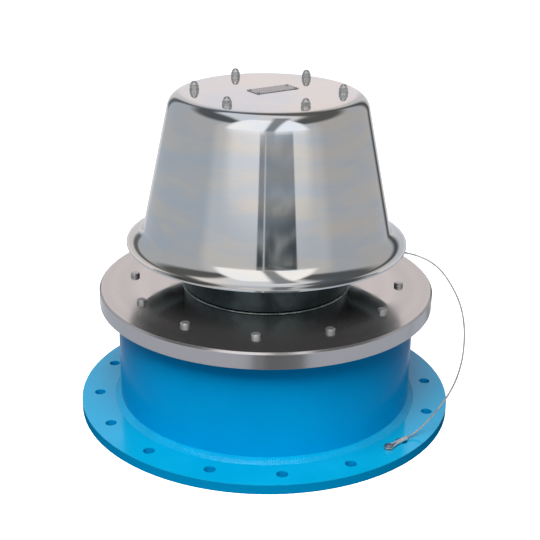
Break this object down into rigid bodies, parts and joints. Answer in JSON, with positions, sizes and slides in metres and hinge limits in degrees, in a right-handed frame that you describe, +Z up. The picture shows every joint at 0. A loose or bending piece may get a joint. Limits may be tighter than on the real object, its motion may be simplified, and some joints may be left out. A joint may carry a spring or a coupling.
{
  "type": "emergency vent cover",
  "caption": "Weight-loaded emergency relief vent: flared hood on a guided pallet that lifts off a nozzle above a flanged neck, with a wire rope tether.",
  "frame": {"origin": "centre of the base flange's bottom face, where it meets the tank's flange", "axes": "+Z up along the vent's axis, the way the cover lifts; -Y to the front, as in the picture; +X right"},
  "size_m": [0.6679, 0.6604, 0.5806],
  "materials": {
    "blue_paint": "gloss paint over steel",
    "polished_stainless": "polished stainless steel",
    "machined_stainless": "turned and polished stainless steel",
    "plain_stainless": "mill finish stainless steel",
    "plated_steel": "zinc plated steel",
    "weight_steel": "dull rolled steel",
    "gasket_sheet": "matt",
    "seal_rubber": "satin",
    "bush_plastic": "machined",
    "wire_rope": "stranded stainless wire",
    "plate_aluminium": "satin anodised"
  },
  "bodies": {
    "base": {"base_flange": "blue_paint", "neck_shell": "blue_paint", "neck_foot_weld": "blue_paint", "neck_top_ring": "blue_paint", "top_ring_weld": "blue_paint", "seat_gasket": "gasket_sheet", "seat_flange": "machined_stainless", "ring_bolts": "plated_steel", "ring_bolt_washers": "plated_steel", "nozzle": "plain_stainless", "nozzle_weld": "plain_stainless", "seat_ring": "machined_stainless", "guide_spider": "plain_stainless", "guide_bush": "bush_plastic", "tether_screw": "plated_steel", "tether_washers": "plated_steel", "tether_eye_loop": "wire_rope", "tether_ferrule": "plain_stainless", "tether_rope": "wire_rope"},
    "cover": {"hood": "polished_stainless", "pallet": "machined_stainless", "seat_seal": "seal_rubber", "seal_retainer": "plain_stainless", "retainer_screws": "plain_stainless", "weight_disc_1": "weight_steel", "weight_disc_2": "weight_steel", "guide_stem": "machined_stainless", "stem_top_washer": "plain_stainless", "stem_top_nut": "plain_stainless", "lift_stop_washer": "plain_stainless", "lift_stop_nut": "plain_stainless", "lift_lock_nut": "plain_stainless", "cover_studs": "plain_stainless", "spacer_tubes": "plain_stainless", "hood_washers": "polished_stainless", "acorn_nuts": "polished_stainless", "nameplate": "plate_aluminium", "nameplate_rivets": "plate_aluminium", "tether_tab": "plain_stainless", "tether_stop_sleeve": "plain_stainless"}
  },
  "joints": [
    {"name": "cover_lift", "type": "slide", "parent": "base", "child": "cover", "axis": [0, 0, 1], "range_m": [0, 0.08], "deforming": ["tether_rope"]}
  ]
}
